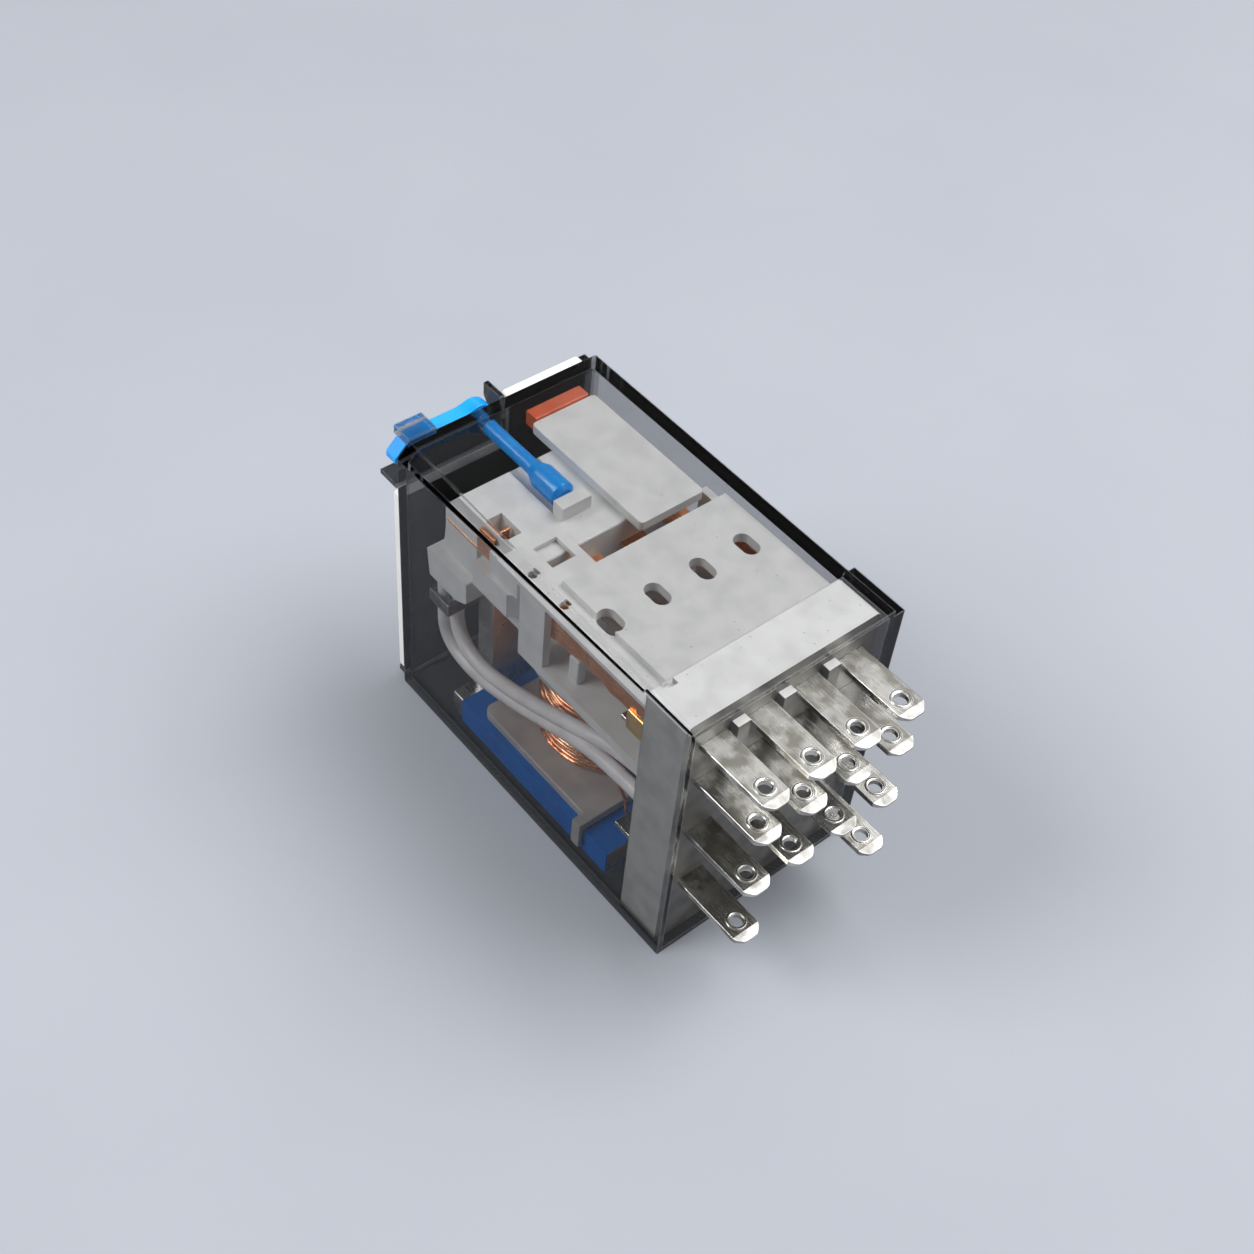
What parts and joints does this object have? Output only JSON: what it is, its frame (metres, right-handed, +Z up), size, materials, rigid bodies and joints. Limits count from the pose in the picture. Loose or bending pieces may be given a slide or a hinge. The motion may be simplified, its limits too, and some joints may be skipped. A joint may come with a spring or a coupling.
{
  "type": "plug-in relay",
  "caption": "Clear-cased plug-in relay lying on its side, with a test lever, a status flag, a coil and contact sets open to view, and flat blades in rows.",
  "frame": {"origin": "middle of the bounding box's bottom, on the surface that the relay lies on", "axes": "+X out of the case along the terminal blades, +Z up from the coil side to the contact side, +Y towards the latch"},
  "size_m": [0.0434, 0.0208, 0.0277],
  "materials": {
    "clear_smoked": "clear, smoked, polished",
    "white_plate": "satin",
    "blue_plastic": "satin",
    "white_plastic": "satin",
    "grey_plastic": "satin",
    "orange_red_plastic": "satin",
    "silver": "polished",
    "plated_steel": "zinc plated",
    "dark_steel": "dark",
    "spring_steel": "drawn wire",
    "blue_film": "glossy film",
    "copper_wire": "enamelled",
    "copper_alloy": "rolled",
    "tinned_brass": "tinned, stained",
    "lead_sleeve": "matt"
  },
  "bodies": {
    "relay": {"base": "white_plastic", "bobbin": "grey_plastic", "coil_terminal_1": "tinned_brass", "coil_terminal_2": "tinned_brass", "coil_winding": "copper_wire", "coil_wires": "copper_wire", "com_terminal_1": "tinned_brass", "com_terminal_2": "tinned_brass", "com_terminal_3": "tinned_brass", "com_terminal_4": "tinned_brass", "contact_frame": "white_plastic", "core": "plated_steel", "cover": "clear_smoked", "inner_lead_left": "lead_sleeve", "inner_lead_right": "lead_sleeve", "lead_clamp": "dark_steel", "marker_plate": "white_plate", "nc_contacts": "silver", "nc_terminal_1": "tinned_brass", "nc_terminal_2": "tinned_brass", "nc_terminal_3": "tinned_brass", "nc_terminal_4": "tinned_brass", "no_contacts": "silver", "no_terminal_1": "tinned_brass", "no_terminal_2": "tinned_brass", "no_terminal_3": "tinned_brass", "no_terminal_4": "tinned_brass", "outer_lead_left": "lead_sleeve", "outer_lead_right": "lead_sleeve", "return_spring": "spring_steel", "yoke": "plated_steel", "yoke_film": "blue_film"},
    "armature": {"armature": "plated_steel", "contact_carrier": "white_plastic", "contact_spring_1": "copper_alloy", "contact_spring_2": "copper_alloy", "contact_spring_3": "copper_alloy", "contact_spring_4": "copper_alloy", "indicator_arm": "white_plastic", "indicator_flag": "orange_red_plastic", "moving_contacts": "silver"},
    "lever": {"test_lever": "blue_plastic"}
  },
  "joints": [
    {"name": "armature_rock", "type": "hinge", "parent": "relay", "child": "armature", "pos_m": [-0.01145, -0.00055, 0.0161], "axis": [0, 1, 0], "range_deg": [0, 2.6], "stiffness_Nm_per_rad": 0.01, "springref_deg": -8.59},
    {"name": "lever_press", "type": "slide", "parent": "relay", "child": "lever", "axis": [1, 0, 0], "range_m": [0, 0.0006]}
  ],
  "couplings": [
    {"joint": "lever_press", "follows": "armature_rock", "m_per_rad": 0.0132}
  ]
}
